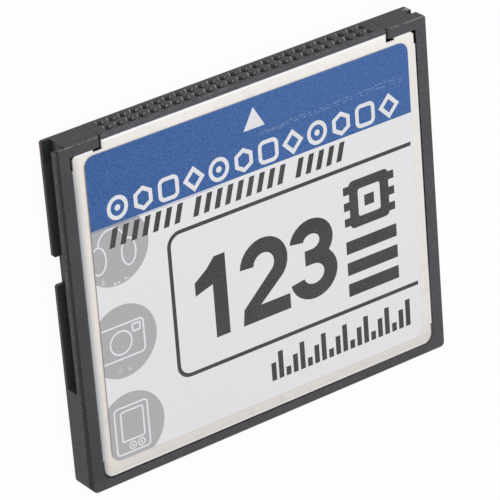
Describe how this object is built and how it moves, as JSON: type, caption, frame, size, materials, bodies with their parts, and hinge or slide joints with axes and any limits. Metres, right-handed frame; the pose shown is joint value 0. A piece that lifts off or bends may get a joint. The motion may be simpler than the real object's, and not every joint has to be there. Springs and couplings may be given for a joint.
{
  "type": "compact flash card",
  "caption": "Thin memory card with a moulded grooved frame, steel panels, a printed label and a two-row socket header along one end.",
  "frame": {"origin": "middle of the card's back face", "axes": "+X across the card to the right as seen from the printed front, +Y towards the socket end, +Z out of the printed front"},
  "size_m": [0.0428, 0.0364, 0.0033],
  "materials": {
    "frame_plastic": "fine matte moulded plastic, dark grey",
    "header_plastic": "matte moulded plastic, dark grey",
    "white_paint": "cream-white painted sheet, satin",
    "steel": "plain rolled stainless sheet",
    "label_film": "printed film sticker, satin",
    "plated_bronze": "gold-plated stamped strip",
    "board_laminate": "green solder mask on glass laminate",
    "chip_moulding": "black chip moulding",
    "can_metal": "plated metal can",
    "capacitor_body": "yellow-orange moulded body"
  },
  "bodies": {
    "root": {"frame": "frame_plastic", "front_panel": "white_paint", "back_panel": "steel", "front_label": "label_film", "header": "header_plastic", "circuit_board": "board_laminate", "controller_chip": "chip_moulding", "memory_chip": "chip_moulding", "crystal": "can_metal", "capacitor": "capacitor_body", "contact_front_01": "plated_bronze", "contact_front_02": "plated_bronze", "contact_front_03": "plated_bronze", "contact_front_04": "plated_bronze", "contact_front_05": "plated_bronze", "contact_front_06": "plated_bronze", "contact_front_07": "plated_bronze", "contact_front_08": "plated_bronze", "contact_front_09": "plated_bronze", "contact_front_10": "plated_bronze", "contact_front_11": "plated_bronze", "contact_front_12": "plated_bronze", "contact_front_13": "plated_bronze", "contact_front_14": "plated_bronze", "contact_front_15": "plated_bronze", "contact_front_16": "plated_bronze", "contact_front_17": "plated_bronze", "contact_front_18": "plated_bronze", "contact_front_19": "plated_bronze", "contact_front_20": "plated_bronze", "contact_front_21": "plated_bronze", "contact_front_22": "plated_bronze", "contact_front_23": "plated_bronze", "contact_front_24": "plated_bronze", "contact_front_25": "plated_bronze", "contact_back_01": "plated_bronze", "contact_back_02": "plated_bronze", "contact_back_03": "plated_bronze", "contact_back_04": "plated_bronze", "contact_back_05": "plated_bronze", "contact_back_06": "plated_bronze", "contact_back_07": "plated_bronze", "contact_back_08": "plated_bronze", "contact_back_09": "plated_bronze", "contact_back_10": "plated_bronze", "contact_back_11": "plated_bronze", "contact_back_12": "plated_bronze", "contact_back_13": "plated_bronze", "contact_back_14": "plated_bronze", "contact_back_15": "plated_bronze", "contact_back_16": "plated_bronze", "contact_back_17": "plated_bronze", "contact_back_18": "plated_bronze", "contact_back_19": "plated_bronze", "contact_back_20": "plated_bronze", "contact_back_21": "plated_bronze", "contact_back_22": "plated_bronze", "contact_back_23": "plated_bronze", "contact_back_24": "plated_bronze", "contact_back_25": "plated_bronze"}
  },
  "joints": []
}
